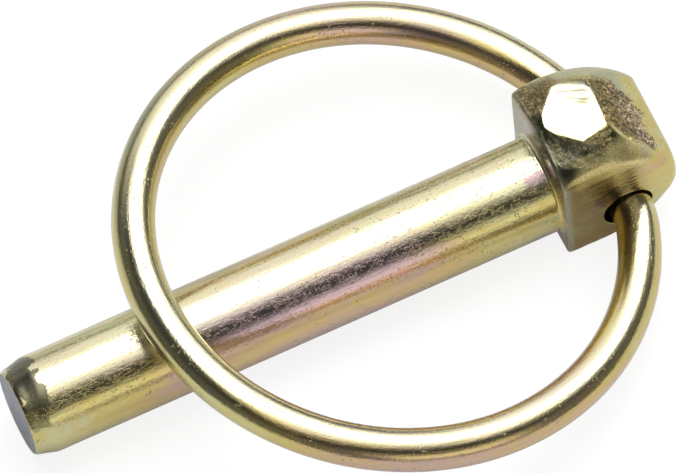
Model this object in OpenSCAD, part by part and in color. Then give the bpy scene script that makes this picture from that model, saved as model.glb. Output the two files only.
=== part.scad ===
// Linch pin with a sprung retaining ring.
// A plain round shank carries a forged block head. A ring of round wire is hinged in a hole
// drilled across the head, and folds down over the shank to keep the pin in its hole.
// The pin lies on its side, on the edge of its head and on its tip, with the ring folded.
// X runs along the shank from the tip to the head, and the origin is where the shank's axis
// meets the head's bearing face. Sizes are in millimetres.

/* [Shank] */
// Diameter of the round shank
shank_d = 8; // [7.5:0.25:9]
// Length from the head's bearing face to the tip
shank_len = 45.6; // [44:0.2:70]
// Length of the tapered lead-in at the tip
tip_len = 1.75; // [0.5:0.25:4]
// How far the lead-in takes the tip's radius in
tip_drop = 0.5; // [0.2:0.1:1.5]
// Radius of the fillet where the shank meets the head
neck_fillet = 0.35; // [0.2:0.05:0.35]

/* [Head block] */
// Length of the head along the pin
head_len = 10; // [9.5:0.25:10.75]
// How far the drilled side at -y stands out past the shank
side_step = 0.55; // [0.55:0.05:1]
// How far the drilled side at +y stands out past the shank
back_step = 1.35; // [0.55:0.05:1.6]
// Reach of the head above the shank's axis, up to the flat pad
head_above = 7.9; // [7.5:0.05:9]
// How far the bottom of the head stands out past the shank
foot_step = 0.5; // [0.4:0.05:1.5]
// Rounding of the upper long edge at -y
top_edge_r = 1.8; // [0.5:0.1:2]
// Rounding of the upper long edge at +y
back_top_r = 2; // [0.5:0.1:3]
// Rounding of the lower long edge at -y
bottom_edge_r = 0.35; // [0.2:0.05:1]
// Rounding of the lower long edge at +y
back_bottom_r = 1.2; // [0.5:0.1:2]
// Length of the bevel on the upright edges of the bearing face, along the pin
bevel_len = 0.6; // [0.2:0.05:1]
// How far that bevel takes each edge in
bevel_depth = 0.15; // [0.05:0.05:0.2]
// Rounding of the upright edges at the far end, seen from above
nose_side_r = 0.5; // [0.4:0.1:3]
// Rounding of the lower edge at the far end
nose_bottom_r = 1.6; // [0.5:0.1:2.5]

/* [Head forging] */
// Largest radius of the barrel that crowns the head
crown_r = 7.45; // [7:0.05:8.5]
// Radius of the barrel's curve along the pin
crown_arc_r = 12.2; // [11:0.1:18]
// Distance from the bearing face to the barrel's widest section
crown_from_face = 1.55; // [1:0.05:4]
// Height of the barrel's axis above the shank's axis
crown_rise = 1.35; // [0:0.05:2]
// Radius of the flat pad on top
pad_r = 2.75; // [2:0.05:4]
// Distance from the bearing face to the pad's centre
pad_from_face = 3.3; // [3:0.05:5]
// Sideways offset of the pad's centre
pad_offset = 0.7; // [-1.5:0.1:1.5]
// Fall of the ground at the pad's edge, in degrees
pad_fall = 18; // [10:0.5:22]
// Radius at which that ground curves down towards the head's edges
ground_r = 8.3; // [8:0.1:20]
// Distance from the bearing face to where the nose starts to slope
nose_from_face = 5.4; // [4.5:0.05:7]
// Slope of the nose, in degrees
nose_slope = 48; // [20:1:50]

/* [Ring hole] */
// Diameter of the hole drilled across the head
hole_d = 4.2; // [3.6:0.05:4.8]
// Distance from the bearing face to the hole's axis
hole_from_face = 5.35; // [5:0.05:6]
// Drop of the hole's axis below the shank's axis
hole_drop = 1.0; // [0:0.1:1.2]

/* [Ring] */
// Inside diameter of the ring
ring_in_d = 36.6; // [32:0.2:44]
// Radial play of the wire in its hole
wire_play = 0.35; // [0.2:0.05:0.5]
// Share of that play by which the wire lies off the hole's axis, away from the bearing face
wire_lean = 0.55; // [0:0.05:0.7]
// Bend radius of the wire's centre line at the two hinge ends
bend_r = 6; // [4:0.5:9]
// How much the bending thins the radius of the wire's hinge ends
bend_thinning = 0.02; // [0.02:0.01:0.1]
// Gap between the wire's two ends inside the hole
end_gap = 1.2; // [0.4:0.1:3]
// Gap between the folded ring and the shank
fold_gap = 0.85; // [0.2:0.05:1.5]

/* [Hidden] */
$fn = 96;

shank_r = shank_d / 2;
hole_r = hole_d / 2;
wire_r = hole_r - wire_play;
ring_r = ring_in_d / 2 + wire_r;
head_w = shank_d + side_step + back_step;
head_mid = (back_step - side_step) / 2;
hinge_y = shank_r + side_step;
head_below = shank_r + foot_step;
wire_shift = wire_play * wire_lean;

// the ring is centred on the shank: its ends lie square across the head, and each bend
// starts as far out as the nearer side of the head
ring_reach = bend_r + sqrt(pow(ring_r - bend_r, 2) - pow(hinge_y, 2));
bend_angle = asin(hinge_y / (ring_r - bend_r));

// the far side of the folded ring crosses over the shank
fold_rise = hole_drop + shank_r + wire_r + fold_gap;
fold_angle = asin(fold_rise / (ring_reach - wire_shift + ring_r));

// the head reaches lower than the shank, so the lying pin leans on its tip
rest_tilt = atan((head_below - shank_r) / (shank_len - tip_len));

// the head from the end: each long edge has its own rounding
module head_section() {
    low = -head_below;
    front = head_mid - head_w / 2;
    back = head_mid + head_w / 2;
    rotate([90, 0, 90])
        linear_extrude(height = head_len) {
            polygon([
                [front + bottom_edge_r, low],
                [back - back_bottom_r, low],
                [back, low + back_bottom_r],
                [back, head_above - back_top_r],
                [back - back_top_r, head_above],
                [front + top_edge_r, head_above],
                [front, head_above - top_edge_r],
                [front, low + bottom_edge_r]
            ]);
            translate([front + bottom_edge_r, low + bottom_edge_r])
                circle(r = bottom_edge_r);
            translate([back - back_bottom_r, low + back_bottom_r])
                circle(r = back_bottom_r);
            translate([back - back_top_r, head_above - back_top_r])
                circle(r = back_top_r);
            translate([front + top_edge_r, head_above - top_edge_r])
                circle(r = top_edge_r);
        }
}

// the head from above: bevelled at the bearing face, rounded at the far end
module head_plan() {
    half_w = head_w / 2;
    translate([0, head_mid, -head_below - 1])
        linear_extrude(height = head_below + head_above + 2)
            union() {
                polygon([
                    [0, -half_w + bevel_depth],
                    [bevel_len, -half_w],
                    [head_len - nose_side_r, -half_w],
                    [head_len - nose_side_r, half_w],
                    [bevel_len, half_w],
                    [0, half_w - bevel_depth]
                ]);
                translate([head_len - nose_side_r - 0.1, -half_w + nose_side_r])
                    square([nose_side_r + 0.1, head_w - 2 * nose_side_r]);
                for (s = [-1, 1])
                    translate([head_len - nose_side_r, s * (half_w - nose_side_r)])
                        circle(r = nose_side_r);
            }
}

// the head from the side: a sloping nose, and a rounded lower end
module head_side() {
    nose_end = head_above - (head_len - nose_from_face) * tan(nose_slope);
    rotate([90, 0, 0])
        linear_extrude(height = 2 * head_w, center = true)
            union() {
                polygon([
                    [0, -head_below],
                    [head_len - nose_bottom_r, -head_below],
                    [head_len - nose_bottom_r, -head_below + nose_bottom_r],
                    [head_len, -head_below + nose_bottom_r],
                    [head_len, nose_end],
                    [nose_from_face, head_above],
                    [0, head_above]
                ]);
                translate([head_len - nose_bottom_r, -head_below + nose_bottom_r])
                    circle(r = nose_bottom_r);
            }
}

// the barrel that crowns the sides and the far end
module crown() {
    translate([crown_from_face, 0, crown_rise])
        rotate([0, 90, 0])
            rotate_extrude()
                intersection() {
                    translate([crown_r - crown_arc_r, 0])
                        circle(r = crown_arc_r, $fn = 192);
                    translate([0, -crown_from_face - 1])
                        square([crown_r + 1, head_len + 2]);
                }
}

// the flat pad on top, and the ground that curves down all round it
module pad_ground() {
    depth = head_above + head_below + 1;
    reach = head_len + head_w;
    arc_x = pad_r - ground_r * sin(pad_fall);
    belt = ground_r * cos(pad_fall);
    translate([pad_from_face, pad_offset, head_above])
        rotate_extrude()
            intersection() {
                union() {
                    translate([arc_x, -belt])
                        circle(r = ground_r, $fn = 360);
                    // straight down from its widest point
                    translate([0, -belt - depth])
                        square([arc_x + ground_r, depth]);
                }
                translate([0, -depth])
                    square([reach, depth]);
            }
}

module head() {
    difference() {
        intersection() {
            head_section();
            head_plan();
            head_side();
            crown();
            pad_ground();
        }
        // the ring's hole
        translate([hole_from_face, 0, -hole_drop])
            rotate([90, 0, 0])
                cylinder(h = 2 * head_w, r = hole_r, center = true);
    }
}

module shank() {
    rotate([0, -90, 0]) {
        cylinder(h = shank_len - tip_len, r = shank_r);
        translate([0, 0, shank_len - tip_len])
            cylinder(h = tip_len, r1 = shank_r, r2 = shank_r - tip_drop);
    }
    // the neck's fillet
    rotate([0, -90, 0])
        rotate_extrude()
            difference() {
                square([shank_r + neck_fillet, neck_fillet]);
                translate([shank_r + neck_fillet, neck_fillet])
                    circle(r = neck_fillet, $fn = 64);
            }
}

// one hinge end of the ring: a straight stub in the hole, and the bend outside it, which
// runs a few degrees into the end of the ring
module hinge_end() {
    end_r = wire_r - bend_thinning;
    lap = 3;
    translate([0, end_gap / 2, 0])
        rotate([-90, 0, 0])
            cylinder(h = hinge_y - end_gap / 2, r = end_r);
    translate([-bend_r, hinge_y, 0])
        rotate_extrude(angle = bend_angle + lap)
            translate([bend_r, 0])
                circle(r = end_r);
}

// the ring lying flat, with its hinge ends on the Y axis
module flat_ring() {
    translate([-ring_reach, 0, 0])
        rotate([0, 0, bend_angle])
            rotate_extrude(angle = 360 - 2 * bend_angle)
                translate([ring_r, 0])
                    circle(r = wire_r);
    hinge_end();
    mirror([0, 1, 0])
        hinge_end();
}

module pin() {
    color([0.78, 0.70, 0.40])
        rotate([0, -rest_tilt, 0]) {
            shank();
            head();
        }
}

module ring() {
    color([0.80, 0.72, 0.42])
        rotate([0, -rest_tilt, 0])
            translate([hole_from_face, 0, -hole_drop])
                rotate([0, fold_angle, 0])
                    translate([wire_shift, 0, 0])
                        flat_ring();
}

pin();
ring();
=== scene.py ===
"""Linch pin with its ring folded, on a pale floor under a studio softbox.

Metres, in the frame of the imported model: X along the shank towards the head and Z up, with
the origin where the shank's axis meets the head's bearing face. The shapes are worked out in
the pin's local millimetres: the same axes before the small tilt at which the pin lies.
"""
import math
import numpy as np
import bpy
import bmesh
from mathutils import Vector, Matrix


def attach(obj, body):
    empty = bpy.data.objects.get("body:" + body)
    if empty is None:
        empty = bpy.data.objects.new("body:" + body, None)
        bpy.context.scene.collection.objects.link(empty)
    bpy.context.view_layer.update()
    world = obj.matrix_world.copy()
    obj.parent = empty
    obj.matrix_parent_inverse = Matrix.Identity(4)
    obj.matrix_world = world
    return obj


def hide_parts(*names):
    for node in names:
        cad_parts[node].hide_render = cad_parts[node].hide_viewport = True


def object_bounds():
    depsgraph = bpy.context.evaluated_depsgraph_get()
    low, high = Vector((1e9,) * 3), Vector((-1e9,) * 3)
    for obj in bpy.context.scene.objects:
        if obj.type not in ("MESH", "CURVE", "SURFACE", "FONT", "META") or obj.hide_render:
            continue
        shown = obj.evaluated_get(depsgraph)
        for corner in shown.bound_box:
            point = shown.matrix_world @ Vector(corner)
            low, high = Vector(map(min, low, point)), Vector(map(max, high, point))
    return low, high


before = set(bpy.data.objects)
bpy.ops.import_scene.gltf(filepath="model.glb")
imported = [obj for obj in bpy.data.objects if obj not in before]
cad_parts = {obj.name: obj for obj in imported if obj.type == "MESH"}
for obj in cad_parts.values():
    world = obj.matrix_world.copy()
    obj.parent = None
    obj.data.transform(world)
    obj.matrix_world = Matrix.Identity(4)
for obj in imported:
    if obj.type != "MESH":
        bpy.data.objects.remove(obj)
before = [list(v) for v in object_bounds()]

MM = 0.001

# ---------------------------------------------------------------- sizes in mm, as in the model
SHANK_R = 4.0
SHANK_LEN = 45.6
TIP_LEN = 1.75
TIP_DROP = 0.5
# fillet where the shank meets the head
NECK = 0.35
# from the shank's axis to the head's near side
HALF_W = 4.55
FOOT_STEP = 0.5
# the ring's hole: x and z of its axis, and its radius
HOLE = (5.35, -1.0)
HOLE_R = 2.1
WIRE_R = 1.75
# radii of the wire's centre line, in the ring and in the bends at its ends
RING_R = 20.05
BEND_R = 6.0
END_GAP = 1.2
FOLD_GAP = 0.85
# how far the wire lies off the hole's axis
SHIFT = 0.1925
RING_LEN = 2 * math.pi * RING_R
REACH = BEND_R + math.sqrt((RING_R - BEND_R) ** 2 - HALF_W ** 2)
BEND = math.asin(HALF_W / (RING_R - BEND_R))
FOLD = math.asin((SHANK_R + WIRE_R + FOLD_GAP - HOLE[1]) / (REACH - SHIFT + RING_R))
TILT = math.atan(FOOT_STEP / (SHANK_LEN - TIP_LEN))


def turned(points, angle):
    """Points turned about the Y axis."""
    p = np.asarray(points, float)
    c, s = math.cos(angle), math.sin(angle)
    return np.stack([p[:, 0] * c + p[:, 2] * s, p[:, 1], -p[:, 0] * s + p[:, 2] * c], 1)


def to_row(points):
    """The pin's local points in mm, turned to the lying pose and scaled to metres."""
    return turned(points, -TILT) * MM


def to_local(points):
    """The way back: points of the frame in metres to the pin's local mm."""
    return turned(np.asarray(points, float) / MM, TILT)


def link(name, data):
    ob = bpy.data.objects.new(name, data)
    bpy.context.scene.collection.objects.link(ob)
    return ob


# ---------------------------------------------------------------- node helpers
class Net:
    """Short calls for building a node tree."""

    def __init__(self, tree):
        self.tree = tree
        tree.nodes.clear()

    def put(self, socket, v):
        if isinstance(v, bpy.types.NodeSocket):
            self.tree.links.new(v, socket)
        elif isinstance(v, bpy.types.Node):
            self.tree.links.new(v.outputs[0], socket)
        else:
            socket.default_value = v

    def new(self, kind, **ins):
        """A node. Its inputs go by name, with _ for a space, or by number as i0, i1, i2."""
        n = self.tree.nodes.new(kind)
        for k, v in ins.items():
            name = k.replace("_", " ")
            self.put(n.inputs[name] if name in n.inputs else n.inputs[int(k[1:])], v)
        return n

    def attribute(self, name, out):
        n = self.new("ShaderNodeAttribute")
        n.attribute_name = name
        return n.outputs[out]

    def math(self, op, *values):
        n = self.new("ShaderNodeMath")
        n.operation = op
        for socket, v in zip(n.inputs, values):
            self.put(socket, v)
        return n.outputs[0]

    def add(self, v, *more):
        for w in more:
            v = self.math("ADD", v, w)
        return v

    def mul(self, v, *more):
        for w in more:
            v = self.math("MULTIPLY", v, w)
        return v

    def centred(self, v, width):
        """A noise between 0 and 1, as one of this width about zero."""
        return self.math("MULTIPLY_ADD", v, width, -width / 2)

    def vmath(self, op, a, b):
        n = self.new("ShaderNodeVectorMath", i0=a, i1=b)
        n.operation = op
        return n.outputs["Value" if op in ("DOT_PRODUCT", "DISTANCE") else "Vector"]

    def step(self, v, lo, hi, a=0.0, b=1.0):
        """A smooth step from a at lo to b at hi."""
        n = self.new("ShaderNodeMapRange")
        n.interpolation_type = "SMOOTHSTEP"
        for socket, x in zip(n.inputs, (v, lo, hi, a, b)):
            self.put(socket, x)
        return n.outputs[0]

    def band(self, v, start, full, last, end):
        """0 up to start, 1 from full to last, and 0 again from end."""
        return self.mul(self.step(v, start, full), self.step(v, end, last))

    def mix(self, f, a, b):
        n = self.new("ShaderNodeMix", i0=f)
        n.data_type = "RGBA"
        for i, v in ((6, a), (7, b)):
            self.put(n.inputs[i], (*v, 1.0) if isinstance(v, tuple) else v)
        return n.outputs[2]

    def ramp(self, f, stops):
        """Stops are places with a colour or a single level."""
        n = self.new("ShaderNodeValToRGB")
        e = n.color_ramp.elements
        while len(e) < len(stops):
            e.new(0.5)
        for el, (pos, col) in zip(e, stops):
            el.position = pos
            el.color = (*col, 1.0) if isinstance(col, tuple) else (col, col, col, 1.0)
        self.put(n.inputs[0], f)
        return n.outputs[0]

    def noise(self, vec, scale, detail=2.0, rough=0.5, dist=0.0):
        return self.new("ShaderNodeTexNoise", Vector=vec, Scale=scale, Detail=detail,
                        Roughness=rough, Distortion=dist).outputs[0]


# ---------------------------------------------------------------- camera
# Azimuth, elevation and roll in radians, distances in mm, and the focal length in pixels of a
# picture as wide as PICTURE_W.
CAM_ANGLES = (-0.355043663, 1.06331641, -0.0954293981)
CAM_DIST = 947.057
CAM_SHIFT = (-15.9456545, -4.22230073)
CAM_FOCAL = 12000.0
PICTURE_W = 680.0
SENSOR_W = 36.0


def make_camera():
    """The camera fitted to the photograph. Gives the direction of the picture's right."""
    cam = bpy.data.cameras.new("camera")
    ob = link("camera", cam)
    az, el, roll = CAM_ANGLES
    back = Vector((math.sin(az) * math.cos(el), -math.cos(az) * math.cos(el), math.sin(el)))
    level = Vector((math.cos(az), math.sin(az), 0.0))
    upright = back.cross(level)
    right = level * math.cos(roll) + upright * math.sin(roll)
    up = -level * math.sin(roll) + upright * math.cos(roll)
    loc = (right * CAM_SHIFT[0] + up * CAM_SHIFT[1] + back * CAM_DIST) * MM
    ob.matrix_world = Matrix((
        (right.x, up.x, back.x, loc.x),
        (right.y, up.y, back.y, loc.y),
        (right.z, up.z, back.z, loc.z),
        (0, 0, 0, 1)))
    cam.sensor_width = SENSOR_W
    cam.lens = SENSOR_W * CAM_FOCAL / PICTURE_W
    cam.clip_start = 0.05
    cam.clip_end = 10.0
    bpy.context.scene.camera = ob
    return right


# ---------------------------------------------------------------- studio
# Each band of light is where it starts, is full, is last full and ends. ACROSS is the angle
# from the zenith in the plane across the shank, in degrees, with + in front of the pin. ALONG
# is how far a direction points to the picture's right, or along X for the walls.
KEY = 3.5
KEY_ACROSS = (-44, -36, -5, 8)
KEY_ALONG = (-0.42, -0.28, 0.52, 0.68)
GLOW = 1.5
GLOW_ACROSS = (-70, -42, 2, 38)
GLOW_ALONG = (-0.50, -0.20, 0.45, 0.78)
AMBIENT = 0.05
# the pale walls: where FRONT starts and is full, then the heights at which a wall ends and is
# full, how much lower it is full in front, its level past its ends, and its level at the sides
# with what the depth adds
FRONT = (0.1, -0.3)
WALL_ALONG = (-0.45, -0.10, 0.32, 0.62)
WALL_TOP = 0.66
WALL_FULL = 0.42
WALL_FULL_FRONT = -0.10
WALL_END_LEVEL = 0.15
WALL_LEVEL = 0.57
WALL_DEPTH_LEVEL = 0.44
WALL_DEPTH = (0.2, 0.7)
# the dark line at their foot: its height, the change of that in front, and its edges
FOOT = 0.11
FOOT_FRONT = -0.07
FOOT_EDGES = (0.04, 0.12)
FOOT_LEVEL = 0.15
GROUND_EDGES = (0.0, -0.03)
GROUND_LEVEL = 0.9

FLOOR_HALF = 0.6
FLOOR_DROP = 0.00002
FLOOR_GREY = (0.62, 0.62, 0.62)
FLOOR_GREY_SEEN = (0.20, 0.20, 0.20)
FLOOR_GLOW_SEEN = 0.86
FLOOR_GLOW_MIRRORED = 0.20
WHITE = (1, 1, 1, 1)


def make_world(right):
    """Two softboxes overhead and pale walls, behind a plain white for the camera."""
    w = bpy.data.worlds.new("studio")
    bpy.context.scene.world = w
    w.use_nodes = True
    n = Net(w.node_tree)
    way = n.new("ShaderNodeTexCoord").outputs["Generated"]
    x, y, z = n.new("ShaderNodeSeparateXYZ", Vector=way).outputs
    across = n.math("ARCTAN2", n.mul(y, -1.0), z)
    along = n.vmath("DOT_PRODUCT", way, tuple(right))

    def softbox(level, band_across, band_along):
        angles = [math.radians(a) for a in band_across]
        return n.mul(n.band(across, *angles), n.band(along, *band_along), level)

    key = softbox(KEY, KEY_ACROSS, KEY_ALONG)
    glow = softbox(GLOW, GLOW_ACROSS, GLOW_ALONG)
    front = n.step(y, *FRONT)
    full = n.math("MULTIPLY_ADD", front, WALL_FULL_FRONT, WALL_FULL)
    ends = n.math("MULTIPLY_ADD", n.band(x, *WALL_ALONG), 1 - WALL_END_LEVEL, WALL_END_LEVEL)
    depth = n.step(n.math("ABSOLUTE", y), *WALL_DEPTH)
    foot = n.math("MULTIPLY_ADD", front, FOOT_FRONT, FOOT)
    line = n.step(n.math("ABSOLUTE", n.math("SUBTRACT", z, foot)), *FOOT_EDGES)
    wall = n.mul(n.step(z, WALL_TOP, full), ends,
                 n.add(WALL_LEVEL, n.mul(depth, WALL_DEPTH_LEVEL)),
                 n.add(FOOT_LEVEL, n.mul(line, 1 - FOOT_LEVEL)))
    level = n.add(AMBIENT, n.math("MAXIMUM", key, glow), wall)
    level = n.math("MAXIMUM", level, n.mul(n.step(z, *GROUND_EDGES), GROUND_LEVEL))
    lit = n.new("ShaderNodeBackground", Color=WHITE, Strength=level)
    seen = n.new("ShaderNodeBackground", Color=WHITE, Strength=1.0)
    camera = n.new("ShaderNodeLightPath").outputs["Is Camera Ray"]
    n.new("ShaderNodeOutputWorld",
          Surface=n.new("ShaderNodeMixShader", i0=camera, i1=lit, i2=seen))


def make_floor():
    """A pale floor just under the part, which shows its shadow."""
    me = bpy.data.meshes.new("floor")
    s, z = FLOOR_HALF, before[0][2] - FLOOR_DROP
    me.from_pydata([(-s, -s, z), (s, -s, z), (s, s, z), (-s, s, z)], [], [(0, 1, 2, 3)])
    ob = link("floor", me)
    mat = bpy.data.materials.new("floor")
    mat.use_nodes = True
    n = Net(mat.node_tree)
    ray = n.new("ShaderNodeLightPath").outputs
    grey = n.mix(ray["Is Camera Ray"], FLOOR_GREY, FLOOR_GREY_SEEN)
    glow = n.add(n.mul(ray["Is Camera Ray"], FLOOR_GLOW_SEEN),
                 n.mul(ray["Is Glossy Ray"], FLOOR_GLOW_MIRRORED))
    diffuse = n.new("ShaderNodeBsdfDiffuse", Color=grey)
    emission = n.new("ShaderNodeEmission", Color=WHITE, Strength=glow)
    n.new("ShaderNodeOutputMaterial",
          Surface=n.new("ShaderNodeAddShader", i0=diffuse, i1=emission))
    me.materials.append(mat)


bpy.context.scene.view_settings.view_transform = "Standard"
make_world(make_camera())
make_floor()

# ---------------------------------------------------------------- fields and noise
_PERM = np.random.RandomState(7).permutation(512)
_GRAD = np.random.RandomState(11).normal(size=(512, 3))
_GRAD /= np.linalg.norm(_GRAD, axis=1)[:, None]
_LAST = len(_PERM) - 1
_GAIN = 1.6


def gnoise(p):
    """Gradient noise, about -1 to 1, of points p (n, 3)."""
    cell = np.floor(p).astype(int)
    f = p - cell
    u = f * f * f * (f * (f * 6 - 15) + 10)
    out = np.zeros(len(p))
    for d in np.ndindex(2, 2, 2):
        c = cell + d
        h = _PERM[(_PERM[(_PERM[c[:, 0] & _LAST] + c[:, 1]) & _LAST] + c[:, 2]) & _LAST]
        out += np.where(d, u, 1 - u).prod(1) * (_GRAD[h] * (f - d)).sum(1)
    return out * _GAIN


def smooth(x, a, b):
    """A smooth step from 0 at a to 1 at b."""
    t = np.clip((x - a) / (b - a), 0, 1)
    return t * t * (3 - 2 * t)


def band(x, start, full, last, end):
    """0 up to start, 1 from full to last, and 0 again from end."""
    return smooth(x, start, full) * smooth(x, end, last)


def smax(a, b, k):
    """Greater of two fields, with the edge between them rounded over a width k."""
    h = np.maximum(k - np.abs(a - b), 0)
    return np.maximum(a, b) + h * h / (4 * k)


def corner(a, b, r):
    """Two half-spaces with a rounding of radius r where they meet."""
    a, b = a + r, b + r
    return np.minimum(np.maximum(a, b), 0) + np.hypot(np.maximum(a, 0), np.maximum(b, 0)) - r


def drawing_waves(p, coarse, fine, seed):
    """The slight waves, in mm, that drawing leaves in the section of a bar or a wire."""
    return 0.010 * gnoise(p * coarse) + 0.004 * gnoise(p * fine + seed)


# ---------------------------------------------------------------- meshes
def set_attribute(me, name, values):
    """A number or a vector for each vertex, which the materials read by name."""
    values = np.asarray(values, np.float32)
    kind, key = ("FLOAT_VECTOR", "vector") if values.ndim == 2 else ("FLOAT", "value")
    me.attributes.new(name, kind, "POINT").data.foreach_set(key, values.ravel())


def dress(me, track, mat):
    """Smooth shading, the material, and the place in mm that it follows."""
    me.polygons.foreach_set("use_smooth", np.ones(len(me.polygons), bool))
    set_attribute(me, "track", track)
    me.materials.append(mat)


def new_piece(name, verts, faces, track, body, mat):
    me = bpy.data.meshes.new(name)
    me.from_pydata([tuple(v) for v in verts], [], faces)
    me.update()
    dress(me, track, mat)
    ob = link(name, me)
    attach(ob, body)
    return ob


def tube_faces(rows, cols):
    return [(i * cols + j, i * cols + (j + 1) % cols,
             (i + 1) * cols + (j + 1) % cols, (i + 1) * cols + j)
            for i in range(rows - 1) for j in range(cols)]


# ---- ring: one swept wire, the two stubs in the head, two bends and the main arc
STUB_STEPS = 14
BEND_STEPS = 24
ARC_STEPS = 420
WIRE_SIDES = 48
# the wire is this much thinner than the solid's, so that its waves stay inside that
WIRE_INSET = 0.016
# the last of each end is thinned over END_ROUND, by up to END_THINNING of its radius
END_ROUND = 0.3
END_THINNING = 0.12


def stub(y):
    """Points of a straight stub at these y, and its directions."""
    return np.stack([0 * y, y], 1), np.stack([0 * y, 0 * y + 1], 1)


def arc(x, y, r, a):
    """Points of an arc about (x, y) at the angles a, and its directions."""
    c, s = np.cos(a), np.sin(a)
    return np.stack([x + r * c, y + r * s], 1), np.stack([-s, c], 1)


def ring_path():
    """The centre line of the flat ring from one wire end to the other, and its directions."""
    y = np.linspace(END_GAP / 2, HALF_W, STUB_STEPS, endpoint=False)
    a = np.linspace(0, BEND, BEND_STEPS, endpoint=False)
    points, ways = zip(
        stub(y), arc(-BEND_R, HALF_W, BEND_R, a),
        arc(-REACH, 0, RING_R, np.linspace(BEND, 2 * math.pi - BEND, ARC_STEPS)),
        arc(-BEND_R, -HALF_W, BEND_R, -a[::-1]), stub(-y[::-1]))
    return np.concatenate(points), np.concatenate(ways)


def make_ring(mat):
    path, way = ring_path()
    run = np.linalg.norm(np.diff(path, axis=0), axis=1)
    s = np.concatenate([[0], np.cumsum(run)])
    side = np.linspace(0, 2 * math.pi, WIRE_SIDES, endpoint=False)
    s_all, side = np.meshgrid(s, side, indexing="ij")
    out, up = np.cos(side), np.sin(side)
    flat = np.stack([s_all.ravel(), out.ravel(), up.ravel()], 1)
    waves = drawing_waves(flat, (0.16, 1.1, 1.1), (0.5, 3.0, 3.0), 40)
    r = (WIRE_R - WIRE_INSET + waves).reshape(out.shape)
    left = np.minimum(s, s[-1] - s) / END_ROUND
    r *= np.where(left < 1, 1 - END_THINNING * (1 - left) ** 2, 1.0)[:, None]
    p = np.stack([path[:, 0:1] + way[:, 1:2] * out * r + SHIFT,
                  path[:, 1:2] - way[:, 0:1] * out * r, up * r], 2).reshape(-1, 3)
    p = turned(p, FOLD) + (HOLE[0], 0, HOLE[1])
    track = np.stack([s_all, WIRE_R * out, WIRE_R * up], 2).reshape(-1, 3)
    faces = tube_faces(len(s), WIRE_SIDES)
    faces.append(tuple(range(WIRE_SIDES - 1, -1, -1)))
    faces.append(tuple((len(s) - 1) * WIRE_SIDES + j for j in range(WIRE_SIDES)))
    ob = new_piece("ring_wire", to_row(p), faces, track, "ring", mat)
    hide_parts("ring")


# ---- shank: turned profile with its cut tip and its neck
SHANK_SIDES = 160
# the bar is this much thinner than the solid, so that its waves stay inside that
SHANK_INSET = 0.012
# the torn start of the taper: depth of its unevenness, and how far it lies inside the solid
TORN_DEPTH = 0.05
TORN_INSET = 0.03
# past this x, towards the tip, no point comes nearer to the solid's surface than SHANK_SKIN
SHANK_SKIN_FROM = -0.4
SHANK_SKIN = 0.001
# the shank runs this far into the head
SHANK_ROOT = 0.15


def shank_profile():
    """Place along the axis and radius, from the middle of the tip's face to the neck."""
    tip, r_tip = -SHANK_LEN, SHANK_R - TIP_DROP
    shoulder = tip + TIP_LEN
    prof = [(tip, 0.0), (tip, 1.2), (tip, 2.4), (tip, 3.1)]
    # the broken edge of the tip's face
    prof += [(tip, r_tip - 0.16), (tip + 0.012, r_tip - 0.08), (tip + 0.05, r_tip - 0.025),
             (tip + 0.11, r_tip + 0.012)]
    prof += [(tip + TIP_LEN * t, r_tip + TIP_DROP * t) for t in np.linspace(0.1, 0.9, 12)]
    # the start of the taper, just rounded
    prof += [(shoulder - 0.1, SHANK_R - 0.032), (shoulder, SHANK_R - 0.010),
             (shoulder + 0.1, SHANK_R - 0.002)]
    prof += [(x, SHANK_R) for x in np.linspace(shoulder + 0.3, -NECK - 0.05, 100)]
    prof += [(-NECK + NECK * math.sin(a), SHANK_R + NECK - NECK * math.cos(a))
             for a in np.linspace(0, math.pi / 2, 9)]
    prof.append((SHANK_ROOT, SHANK_R + NECK))
    return np.array(prof)


def make_shank(mat):
    prof = shank_profile()
    side = np.linspace(0, 2 * math.pi, SHANK_SIDES, endpoint=False)
    x, side = (v.ravel() for v in np.meshgrid(prof[:, 0], side, indexing="ij"))
    r = np.repeat(prof[:, 1], SHANK_SIDES)
    q = np.stack([x, SHANK_R * np.cos(side), SHANK_R * np.sin(side)], 1)
    waves = drawing_waves(q, (0.07, 0.35, 0.35), (0.25, 1.2, 1.2), 9)
    torn = gnoise(q[:, (1, 2, 0)] * (0.55, 0.55, 0.3) + 3.3)
    body = band(x, -43.6, -42.5, -0.9, -0.4)
    taper = band(x, -45.3, -44.6, -43.9, -43.3)
    r = r + body * (waves - SHANK_INSET) + taper * (TORN_DEPTH * torn - TORN_INSET)
    r = np.minimum(r, np.where(x < SHANK_SKIN_FROM, SHANK_R - SHANK_SKIN, np.inf))
    p = np.stack([x, r * np.cos(side), r * np.sin(side)], 1)
    ob = new_piece("shank_bar", to_row(p), tube_faces(len(prof), SHANK_SIDES), p,
                   "pin", mat)
    # the profile's first points all lie in the middle of the tip's face
    bm = bmesh.new()
    bm.from_mesh(ob.data)
    bmesh.ops.remove_doubles(bm, verts=bm.verts, dist=1e-8)
    bm.to_mesh(ob.data)
    bm.free()
    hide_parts("pin")
    return ob


def cut_face(ob, mat):
    """The tip's face gets a material of its own."""
    me = ob.data
    me.materials.append(mat)
    x = to_local([v.co for v in me.vertices])[:, 0]
    for f in me.polygons:
        if all(x[i] < -SHANK_LEN + 0.02 for i in f.vertices):
            f.material_index = 1


# ---- head: the block, crowned and ground, as one smooth field that the mesh is drawn on to
# its flat sides, its underside and its far end, a hair inside the solid's
HEAD_FRONT = -4.545
HEAD_BACK = 5.345
HEAD_LOW = -4.495
HEAD_END = 9.99
# roundings of its long edges, its upright far edges and its low far edge
FRONT_LOW_R = 0.38
BACK_LOW_R = 1.2
PLAN_R = 0.55
END_LOW_R = 1.6
# the bearing face, and the bevel on its upright edges
FACE_X = 0.003
BEVEL_DEPTH = 0.15
BEVEL_SLOPE = 0.25
BEVEL_NORM = 1.031
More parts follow.
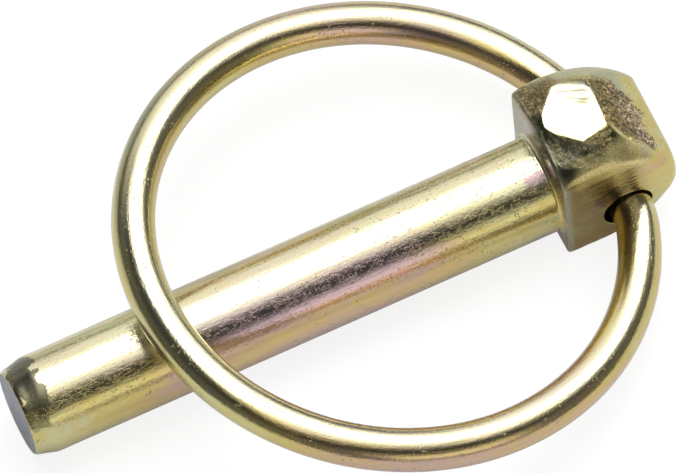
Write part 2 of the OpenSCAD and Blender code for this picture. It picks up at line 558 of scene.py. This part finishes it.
# the barrel that crowns it
CROWN_R = 7.55
CROWN_ARC_R = 12.2
CROWN_X = 1.55
CROWN_Z = 1.35
# the flat pad's outline, its middle, its mean radius and its height
PAD = [(5.62, 2.63), (5.26, -1.67), (2.93, -2.11), (1.15, -0.46), (0.72, 0.37), (1.01, 1.58),
       (2.77, 3.40), (3.52, 3.49), (4.73, 3.08)]
PAD_C = (3.3, 0.7)
PAD_R = 2.75
PAD_Z = 7.89
# the ground round the pad: its fall at the pad's edge, its radius, and where the pad's
# outline has given way to a circle
GROUND_FALL = math.radians(20)
GROUND_R = 8.3
GROUND_ROUND = (2.9, 4.8)
# the nose: a point of its upper edge, the level direction that it falls in, and its slope
NOSE = (5.44, 0.48)
NOSE_WAY = (0.9965, -0.0834)
NOSE_SLOPE = math.radians(48)
# across, along and out of the patch's wrinkles
WRINKLE_WAYS = ((0.67, 0.0, -0.74), (0.25, 1.0, 0.0), (0.74, 0.0, 0.67))
HEAD_VOXEL = 0.095
HEAD_CUT = 0.03
# no vertex passes these x and y
HEAD_X_LIMITS = (0.002, 9.999)
HEAD_Y_LIMITS = (-4.549, 5.349)


def pad_gauge(x, y):
    """Distance from the pad's middle, scaled so that the pad's outline is at PAD_R."""
    out = None
    for (x0, y0), (x1, y1) in zip(PAD, PAD[1:] + PAD[:1]):
        nx, ny = y0 - y1, x1 - x0
        ln = math.hypot(nx, ny)
        nx, ny = nx / ln, ny / ln
        h = nx * (x0 - PAD_C[0]) + ny * (y0 - PAD_C[1])
        d = (nx * (x - PAD_C[0]) + ny * (y - PAD_C[1])) / h * PAD_R
        out = d if out is None else smax(out, d, 0.12)
    return out


def nose_gauge(x, y):
    """Level distance past the nose's upper edge."""
    return (x - NOSE[0]) * NOSE_WAY[0] + (y - NOSE[1]) * NOSE_WAY[1]


def head_masks(p):
    """Where each kind of surface lies on the head, from 0 to 1. The numbers are local mm."""
    x, y, z = p.T
    g = pad_gauge(x, y)
    u = nose_gauge(x, y)
    warp = 0.5 * gnoise(p * 0.8 + 5)
    ragged = warp + 0.35 * gnoise(p * 2.2 + 1)
    # the flat pad
    pad = smooth(g, PAD_R + 0.03, PAD_R - 0.05) * smooth(z, 7.6, 7.8)
    # the wrinkled patch from the pad down the nose
    reach = np.minimum(2.5 + 0.5 * np.maximum(2.4 - y, 0), 3.6) + ragged
    patch = (smooth(u, 0.0, 0.10) * smooth(reach - u, 0.0, 0.4)
             * smooth(y + 1.65 + 0.8 * u + 0.9 * ragged, -0.2, 0.3)
             * smooth(y + ragged, -3.5, -2.9) * smooth(y, 3.3, 2.7) * smooth(z, 3.4, 4.2))
    # the speckled ground round the pad, as far as the nose
    foot = 0.8 * smooth(x, 0.4, 2.4) + 0.5 * warp
    ground = (smooth(g, PAD_R, PAD_R + 0.10) * smooth(z - foot, 5.9, 6.6)
              * smooth(u + 0.45 * (y + 1.6), 0.5, -0.1))
    # drag lines on the drilled side
    stri = (smooth(y, -4.2, -4.5) * band(x, 1.2, 2.4, 6.2, 7.0)
            * band(z, -0.5, 1.5, 6.0, 6.8))
    # worn edges of the bearing face
    rim = np.maximum(smooth(x, 0.75, 0.35) * smooth(y, -4.2, -4.4),
                     0.8 * band(x, 0.03, 0.1, 0.2, 0.5) * smooth(z, 4.0, 5.0))
    # a painted highlight: the bright brow between the ground and the drilled side
    brow_highlight = (smooth(z - foot, 6.7, 6.0) * smooth(z, 4.5, 5.3) * smooth(y, -1.9, -2.9)
            * band(x, 0.5, 1.6, 6.5, 8.0))
    # the matt far side and nose
    far = smooth(u + 1.2 * smooth(y, -1.0, 3.0) + warp, 0.4, 2.4) * smooth(z, 4.2, 5.4)
    far = np.maximum(far, smooth(y + 0.4 * warp, 3.0, 4.2)) * (1 - patch)
    return {"patch": patch, "pad": pad, "ground": ground, "stri": stri, "rim": rim,
            "far": far, "brow_highlight": brow_highlight}


def head_relief(p):
    """Height of the forged surface's marks, in mm."""
    masks = head_masks(p)
    h = (0.035 * gnoise(p * 0.55 + 2) + 0.012 * gnoise(p * 1.7 + 8)) * (1 - masks["pad"])
    q = p @ np.transpose(WRINKLE_WAYS)
    warp = gnoise(q * 1.3 + 4)[:, None]
    ridge = gnoise(q * (1.7, 3.6, 0.5) + warp * (0.5, 0.9, 0.0))
    h += masks["patch"] * (0.20 * np.abs(ridge) - 0.12 + 0.05 * gnoise(q * 4 + 7))
    speckle = gnoise(p * 2.6) + 0.5 * gnoise(p * 5.2 + 13.7)
    h += masks["ground"] * (0.02 * speckle - 0.008)
    return h


def head_field(p):
    """The head as a field in mm, below zero inside, with every edge rounded."""
    x, y, z = p.T
    front, back, low, end = HEAD_FRONT - y, y - HEAD_BACK, HEAD_LOW - z, x - HEAD_END
    section = np.maximum(corner(front, low, FRONT_LOW_R), corner(back, low, BACK_LOW_R))
    plan = np.maximum(corner(end, front, PLAN_R), corner(end, back, PLAN_R))
    side = corner(end, low, END_LOW_R)
    face = FACE_X - x
    bevel = (np.maximum(front, back) + BEVEL_DEPTH - x * BEVEL_SLOPE) / BEVEL_NORM
    crown = np.hypot(np.hypot(y, z - CROWN_Z) - (CROWN_R - CROWN_ARC_R),
                     x - CROWN_X) - CROWN_ARC_R
    # the ground falls away in an arc from the pad's outline
    rho = np.hypot(x - PAD_C[0], y - PAD_C[1])
    w = smooth(rho, *GROUND_ROUND)
    g = pad_gauge(x, y) * (1 - w) + rho * w
    cx = PAD_R - GROUND_R * math.sin(GROUND_FALL)
    cz = PAD_Z - GROUND_R * math.cos(GROUND_FALL)
    fall = np.where(z > cz, np.hypot(g - cx, z - cz), np.abs(g - cx)) - GROUND_R
    pad = z - PAD_Z
    nose = nose_gauge(x, y) * math.sin(NOSE_SLOPE) + pad * math.cos(NOSE_SLOPE)
    top = smax(fall, nose, 0.10 + 0.5 * smooth(y, -2.0, -3.2))
    f = section
    for part, width in ((plan, 0.2), (side, 0.2), (crown, 0.25), (top, 0.40), (bevel, 0.15),
                        (face, 0.25), (pad, 0.04)):
        f = smax(f, part, width)
    # the ring's hole, its rim just broken
    hole = HOLE_R - np.hypot(x - HOLE[0], z - HOLE[1])
    return smax(f, hole, 0.05)


def head_blank():
    """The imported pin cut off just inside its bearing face, as a closed mesh in local mm."""
    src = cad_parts["pin"].data
    loc = to_local([v.co for v in src.vertices])
    me = bpy.data.meshes.new("head_block")
    me.from_pydata([tuple(v) for v in loc], [], [tuple(f.vertices) for f in src.polygons])
    bm = bmesh.new()
    bm.from_mesh(me)
    bmesh.ops.remove_doubles(bm, verts=bm.verts, dist=1e-4)
    geom = bm.verts[:] + bm.edges[:] + bm.faces[:]
    cut = bmesh.ops.bisect_plane(bm, geom=geom, plane_co=(HEAD_CUT, 0, 0),
                                 plane_no=(1, 0, 0), clear_inner=True)
    edges = [e for e in cut["geom_cut"] if isinstance(e, bmesh.types.BMEdge)]
    bmesh.ops.holes_fill(bm, edges=edges)
    bm.to_mesh(me)
    bm.free()
    return me


def remeshed(ob):
    """The object's mesh again in even small faces, a little smoothed."""
    mod = ob.modifiers.new("remesh", "REMESH")
    mod.mode = "VOXEL"
    mod.voxel_size = HEAD_VOXEL
    dg = bpy.context.evaluated_depsgraph_get()
    me = bpy.data.meshes.new_from_object(ob.evaluated_get(dg))
    ob.modifiers.clear()
    bm = bmesh.new()
    bm.from_mesh(me)
    for _ in range(2):
        bmesh.ops.smooth_vert(bm, verts=bm.verts, factor=0.5, use_axis_x=True,
                              use_axis_y=True, use_axis_z=True)
    bm.to_mesh(me)
    bm.free()
    return me


def on_surface(p):
    """Points moved on to the field's surface, and the outward direction at each."""
    e = 1e-3
    for _ in range(5):
        value = head_field(p)
        slope = np.stack([head_field(p + d) - head_field(p - d)
                          for d in e * np.eye(3)], 1) / (2 * e)
        steep = np.maximum((slope * slope).sum(1), 0.05)
        p = p - np.clip(value / steep, -0.2, 0.2)[:, None] * slope
    return p, slope / np.sqrt(steep)[:, None]


def make_head(mat):
    ob = link("head_block", head_blank())
    me = remeshed(ob)
    ob.data = me
    me.name = "head_block"
    p, out = on_surface(np.array([v.co for v in me.vertices], float))
    # the marks only sink in, and they leave the bearing face and the hole's mouths alone
    relief = head_relief(p)
    clear = (smooth(p[:, 0], 0.02, 0.35)
             * smooth(np.hypot(p[:, 0] - HOLE[0], p[:, 2] - HOLE[1]), HOLE_R + 0.02, 2.5))
    p = p + out * (np.minimum(relief, 0.0) * clear)[:, None]
    p[:, 0] = np.clip(p[:, 0], *HEAD_X_LIMITS)
    p[:, 1] = np.clip(p[:, 1], *HEAD_Y_LIMITS)
    me.vertices.foreach_set("co", to_row(p).ravel())
    me.update()
    dress(me, p, mat)
    for name, values in head_masks(p).items():
        set_attribute(me, name, values)
    set_attribute(me, "relief", relief)
    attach(ob, "pin")


# ---------------------------------------------------------------- materials
# the chromate's tints, in the order in which they pass into one another
TINTS = [(0.18, (0.62, 0.65, 0.40)), (0.34, (0.66, 0.60, 0.26)), (0.44, (0.66, 0.53, 0.16)),
         (0.54, (0.66, 0.47, 0.22)), (0.64, (0.63, 0.43, 0.32)), (0.76, (0.54, 0.39, 0.42)),
         (0.88, (0.46, 0.46, 0.40))]
# where on TINTS each part of the shank and of the ring lies, from one end to the other
SHANK_TINT = [(0.0, 0.42), (0.20, 0.43), (0.28, 0.57), (0.50, 0.64), (0.72, 0.57),
              (0.85, 0.45), (1.0, 0.43)]
SHANK_SPAN = 46.0
RING_TINT = [(0.0, 0.44), (0.16, 0.48), (0.26, 0.48), (0.34, 0.36), (0.50, 0.32),
             (0.58, 0.42), (0.66, 0.56), (0.82, 0.57), (0.92, 0.46), (1.0, 0.40)]
HEAD_TINT = 0.38
# strength along the part of the ring's painted dark flank reflection and of the shank's
# painted lavender highlight streak
RING_SHADE = [(0.20, 0.0), (0.30, 0.5), (0.36, 0.85), (0.44, 0.5), (0.60, 0.0)]
HIGHLIGHT_STREAK = [(0.24, 0.0), (0.42, 1.0), (0.66, 1.0), (0.84, 0.0)]
# colours of the paints; a pair is two colours of one mottled paint
TOP_HIGHLIGHT = (0.72, 0.69, 0.50)
SPECK = (0.20, 0.18, 0.10)
DULL = (0.40, 0.34, 0.14)
DARK_FLANK_REFLECTION = (0.20, 0.185, 0.09)
DRAWN_LINE = (0.22, 0.19, 0.06)
FAR_FLANK_HIGHLIGHT = (0.84, 0.79, 0.50)
LAVENDER_HIGHLIGHT = (0.66, 0.46, 0.52)
VIOLET = (0.42, 0.24, 0.34)
DARK_BAND_REFLECTION = (0.20, 0.16, 0.08)
TORN_DARK_REFLECTION = (0.07, 0.07, 0.03)
CHALK = (0.76, 0.80, 0.62)
CHEEK_SHADE = ((0.33, 0.255, 0.06), (0.29, 0.19, 0.05))
RING_REFLECTION = (0.10, 0.045, 0.03)
BEARING = ((0.30, 0.25, 0.25), (0.24, 0.15, 0.09))
MATT = ((0.38, 0.40, 0.27), (0.56, 0.58, 0.41))
GROUND_SHADE = ((0.03, 0.026, 0.014), (0.14, 0.10, 0.035))
GLINT = ((0.12, 0.115, 0.08), (0.44, 0.33, 0.10))
GLINT_GOLD = (0.56, 0.42, 0.18)
CREST_HIGHLIGHT = ((0.66, 0.48, 0.14), (0.98, 0.74, 0.50))
FURROW_SHADE = (0.06, 0.035, 0.005)
BROW_HIGHLIGHT = ((0.72, 0.57, 0.20), (0.92, 0.78, 0.36))
CLEAN = ((0.80, 0.78, 0.62), (0.72, 0.64, 0.34))
DRAG = (0.19, 0.18, 0.11)
CUT_STEEL = [(0.3, (0.22, 0.24, 0.28)), (0.55, (0.34, 0.36, 0.40)), (0.7, (0.36, 0.33, 0.24))]
# depths of the bumps, in mm
LINE_DEPTH = 0.012
PIT_DEPTH = 0.022
SCUFF_DEPTH = 0.008
SWEEP_DEPTH = 0.12
WRINKLE_DEPTH = 0.16
TEAR_DEPTH = 0.04
COAT_ROUGHNESS = 0.42


class Paint(Net):
    """A metal built up in layers, each laid over those before it."""

    def __init__(self, name):
        self.mat = bpy.data.materials.new(name)
        self.mat.use_nodes = True
        super().__init__(self.mat.node_tree)
        self.track = self.attribute("track", "Vector")
        self.col = self.rough = self.normal = None

    def stretched(self, stretch):
        return self.vmath("MULTIPLY", self.track, stretch)

    def grain(self, stretch, scale, detail, rough):
        """Noise over the track, with its own scale along each axis."""
        return self.noise(self.stretched(stretch), scale, detail, rough)

    def mottle(self, v, lo, hi, pair):
        return self.mix(self.step(v, lo, hi), *pair)

    def lay(self, mask, colour):
        self.col = self.mix(mask, self.col, colour)

    def roughen(self, mask, amount):
        self.rough = self.add(self.rough, self.mul(mask, amount))

    def bump(self, height, depth):
        n = self.new("ShaderNodeBump", Strength=1.0, Distance=depth * MM, Height=height)
        if self.normal is not None:
            self.put(n.inputs["Normal"], self.normal)
        self.normal = n.outputs[0]

    def finish(self, **sockets):
        p = self.new("ShaderNodeBsdfPrincipled", Base_Color=self.col, Metallic=1.0,
                     Roughness=self.rough, Normal=self.normal, **sockets)
        self.new("ShaderNodeOutputMaterial", Surface=p)
        return self.mat


class Plating(Paint):
    """Yellow-chromated zinc on steel: gold with rose, violet and green tints, drawing lines
    along the bar, pits and dull specks. The track is the place on the part in mm."""

    def __init__(self, name):
        super().__init__(name)
        self.x, self.y, self.z = self.new("ShaderNodeSeparateXYZ", Vector=self.track).outputs
        self.clouds = self.grain((0.10, 1.1, 1.1), 1.0, 3.0, 0.6)
        self.lines = self.grain((0.07, 1.0, 1.0), 5.5, 3.0, 0.65)
        self.pits = self.noise(self.track, 4.2, 2.5, 0.6)

    def blotch(self, stretch, place):
        """Distance from a place in the stretched track."""
        return self.vmath("DISTANCE", self.stretched(stretch), place)

    def tint(self, place):
        """The first layer: a place on TINTS, moved by noise of three sizes."""
        large = self.grain((0.06, 0.26, 0.26), 1.0, 2.0, 0.5)
        small = self.grain((0.9, 0.9, 0.9), 1.0, 2.0, 0.5)
        place = self.add(place, self.centred(large, 0.60), self.centred(self.clouds, 0.44),
                         self.centred(small, 0.16))
        self.col = self.ramp(place, TINTS)

    def top_highlight(self, radius):
        """A painted highlight: paler along the top of the bar or of the wire."""
        top = self.add(self.math("DIVIDE", self.z, radius), self.centred(self.clouds, 0.16))
        self.lay(self.step(top, 0.78, 0.97, 0.0, 0.65), TOP_HIGHLIGHT)

    def speckle(self, *more):
        """Dull specks, with more of them where that is given."""
        rare = self.add(self.grain((0.35, 0.8, 0.8), 1.0, 2.0, 0.5), *more)
        self.speck = self.mul(self.step(self.pits, 0.61, 0.68), self.step(rare, 0.50, 0.62))
        self.lay(self.mul(self.speck, 0.55), SPECK)

    def season(self, *more):
        """Dull drawing lines, and more where that is given; the roughness and the bumps."""
        self.lay(self.add(self.mul(self.step(self.lines, 0.54, 0.66), 0.22), *more), DULL)
        self.rough = self.add(0.08, self.mul(self.noise(self.track, 0.8, 2.0), 0.12))
        self.roughen(self.speck, 0.2)
        self.bump(self.lines, LINE_DEPTH)
        self.bump(self.math("SUBTRACT", self.mul(self.pits, 0.7), self.speck), PIT_DEPTH)

    def coated(self, weight):
        return self.finish(Coat_Weight=weight, Coat_Roughness=COAT_ROUGHNESS)


def ring_plating():
    n = Plating("ring_plating")
    along = n.math("DIVIDE", n.x, RING_LEN)
    n.tint(n.ramp(along, RING_TINT))
    # painted dark reflection: olive brown on the outer flank, most of all at the left
    n.lay(n.mul(n.band(n.y, 0.4, 0.95, 1.45, 1.70), n.ramp(along, RING_SHADE)), DARK_FLANK_REFLECTION)
    # painted highlight along the top of the wire
    n.top_highlight(WIRE_R)
    n.speckle()
    n.season()
    return n.coated(1.0)


def shank_plating():
    n = Plating("shank_plating")
    along = n.math("DIVIDE", n.add(n.x, SHANK_SPAN), SHANK_SPAN)
    n.tint(n.add(n.ramp(along, SHANK_TINT), n.step(n.y, 0.0, 3.0, 0.0, -0.12)))
    # painted highlight along the top of the bar
    n.top_highlight(SHANK_R)
    n.speckle(n.mul(n.step(n.x, -30.0, -8.0), 0.10))
    # darker drawing lines along the far side
    drawn = n.step(n.grain((0.16, 2.6, 2.6), 1.6, 3.0, 0.7), 0.50, 0.60)
    n.lay(n.mul(drawn, n.step(n.y, 0.9, 1.9), 0.36), DRAWN_LINE)
    # a painted highlight: paler along the far flank
    n.lay(n.mul(n.step(n.y, 2.3, 3.1), n.step(n.z, -0.5, 0.8), 0.6), FAR_FLANK_HIGHLIGHT)
    # a painted pink highlight: a lavender streak along the middle of the near side
    n.lay(n.mul(n.band(n.y, -3.5, -3.0, -1.9, -1.2), n.ramp(along, HIGHLIGHT_STREAK),
                n.step(n.clouds, 0.30, 0.56, 0.15, 0.75)), LAVENDER_HIGHLIGHT)
    # violet blotches near the head, on the side towards the ring's hinge
    spot = n.math("MINIMUM", n.blotch((0.6, 1.0, 1.0), (-1.3, -3.9, -1.0)),
                  n.blotch((0.6, 1.0, 1.0), (-0.5, -1.5, 3.8)))
    spot = n.add(spot, n.centred(n.noise(n.track, 1.2, 2.0), 1.2))
    n.lay(n.step(spot, 0.9, 0.3, 0.0, 0.7), VIOLET)
    # a painted dark reflection: a darker band along the near side, with scuff bumps in it
    near = n.band(n.y, -3.1, -2.4, -1.9, -1.4)
    n.lay(n.mul(near, 0.35), DARK_BAND_REFLECTION)
    # stains on the far side
    stain = n.step(n.grain((0.10, 0.9, 0.9), 1.3, 3.0, 0.6), 0.48, 0.58)
    n.season(n.mul(stain, n.step(n.y, 1.7, 2.6), 0.5))
    scuff = n.grain((0.7, 1.5, 1.5), 1.7, 4.0, 0.7)
    n.bump(n.mul(n.step(scuff, 0.48, 0.60), near), SCUFF_DEPTH)
    # sheared tip: the torn lead-in, its upper side darkened as a painted dark reflection
    ragged = n.add(n.x, n.centred(n.noise(n.track, 1.1, 4.0, 0.6), -3.0))
    up = n.add(n.mul(n.z, 0.86), n.mul(n.y, 0.5))
    torn = n.mul(n.band(ragged, -45.5, -45.3, -43.4, -43.25), n.step(up, 1.6, 1.9))
    n.lay(n.mul(torn, 0.9), TORN_DARK_REFLECTION)
    n.roughen(torn, 0.12)
    # a chalky stain above it
    chalk = n.step(n.blotch((0.6, 1.0, 1.0), (-25.6, -3.7, 1.5)), 1.7, 0.4)
    chalk = n.mul(chalk, n.step(n.noise(n.track, 1.5, 3.0, 0.6), 0.40, 0.62))
    n.lay(n.mul(chalk, 0.5), CHALK)
    n.roughen(chalk, 0.3)
    return n.coated(1.0)


def head_plating():
    n = Plating("head_plating")
    n.tint(HEAD_TINT)
    n.speckle()
    n.season()
    relief, pad, patch, ground, far, rim, stri, brow_highlight = (
        n.attribute(key, "Fac")
        for key in ("relief", "pad", "patch", "ground", "far", "rim", "stri", "brow_highlight"))
    fine = n.noise(n.track, 5.0, 3.0, 0.65)
    blot = n.noise(n.track, 0.45, 2.0, 0.5)
    # painted shade: the drilled side darker towards the bearing face; the bearing face is
    # duller than the rest
    cheek_shade = n.mul(n.step(n.y, -4.2, -4.45), n.step(n.x, 7.6, 5.6))
    n.lay(n.mul(cheek_shade, 0.85), n.mottle(blot, 0.40, 0.60, CHEEK_SHADE))
    # a painted reflection of the ring: a dark blotch beside the ring's hole
    spot = n.add(n.blotch((1.0, 0.2, 1.0), (3.7, -0.9, 1.9)),
                 n.centred(n.noise(n.track, 1.2, 2.0), 1.4))
    n.lay(n.mul(n.step(spot, 1.5, 0.6), n.step(n.y, -4.0, -4.4), 0.85), RING_REFLECTION)
    n.lay(n.mul(n.step(n.x, 0.35, 0.12), 0.9), n.mottle(blot, 0.40, 0.58, BEARING))
    matt = n.mottle(fine, 0.40, 0.62, MATT)
    n.lay(n.mul(far, 0.7), matt)
    # the ground round the pad: painted shade below it, browner gold at its upper left, with
    # painted glints in its speckles
    gold = n.step(n.add(n.y, n.mul(blot, 2.0)), 1.4, 3.4)
    glint = n.mix(gold, n.mottle(n.x, 2.4, 4.4, GLINT), GLINT_GOLD)
    glinting = n.step(n.add(n.mul(fine, 0.7), n.mul(blot, 0.3)), 0.46, 0.62)
    n.lay(n.mul(ground, 0.9), n.mix(glinting, n.mix(gold, *GROUND_SHADE), glint))
    # the wrinkled patch: painted highlights on its crests and painted shade in its furrows
    across, along, out = (n.mul(n.vmath("DOT_PRODUCT", n.track, way), size)
                          for way, size in zip(WRINKLE_WAYS, (2.2, 4.6, 0.8)))
    wrinkle = n.new("ShaderNodeCombineXYZ", X=across, Y=along, Z=out)
    wrinkle = n.math("SUBTRACT", n.noise(wrinkle, 1.0, 2.0, 0.6, 0.8), 0.5)
    wrinkle = n.math("ABSOLUTE", wrinkle)
    high = n.mul(n.add(n.step(relief, -0.10, -0.02), n.step(wrinkle, 0.02, 0.11)), 0.5)
    n.lay(n.mul(patch, 0.9), n.mix(high, FURROW_SHADE, n.mottle(n.x, 6.0, 8.2, CREST_HIGHLIGHT)))
    n.lay(n.mul(rim, 0.6), matt)
    # the painted highlight on the brow
    n.lay(n.mul(brow_highlight, 0.8), n.mottle(fine, 0.40, 0.60, BROW_HIGHLIGHT))
    # the clean pad, with drag marks on its far half
    clean = n.mottle(n.noise(n.track, 0.7, 2.0), 0.40, 0.62, CLEAN)
    across = n.vmath("DOT_PRODUCT", n.track, (0.455, 0.89, 0.0))
    along = n.vmath("DOT_PRODUCT", n.track, (0.89, -0.455, 0.0))
    drag = n.new("ShaderNodeCombineXYZ", X=n.mul(across, 3.2), Y=n.mul(along, 0.45))
    drag = n.mul(n.step(n.noise(drag, 1.0, 1.0, 0.5), 0.56, 0.66), n.step(across, 2.2, 3.0))
    n.lay(pad, n.mix(drag, clean, DRAG))
    n.roughen(n.math("MAXIMUM", far, rim), 0.16)
    n.roughen(n.math("MAXIMUM", n.mul(ground, 0.6), patch), 0.14)
    n.roughen(brow_highlight, 0.22)
    n.bump(n.mul(n.grain((0.12, 0.4, 3.4), 1.0, 2.0, 0.6), stri), SWEEP_DEPTH)
    n.bump(n.mul(wrinkle, patch), WRINKLE_DEPTH)
    return n.coated(0.4)


def cut_steel():
    """The tip's sheared face: bare grey steel with fine tear lines."""
    n = Paint("cut_steel")
    tear = n.grain((1.0, 3.0, 0.5), 1.0, 4.0, 0.65)
    n.col = n.ramp(n.noise(n.track, 0.7, 3.0, 0.6), CUT_STEEL)
    n.rough = n.math("MULTIPLY_ADD", tear, 0.25, 0.35)
    n.bump(tear, TEAR_DEPTH)
    return n.finish()


cut_face(make_shank(shank_plating()), cut_steel())
make_head(head_plating())
make_ring(ring_plating())
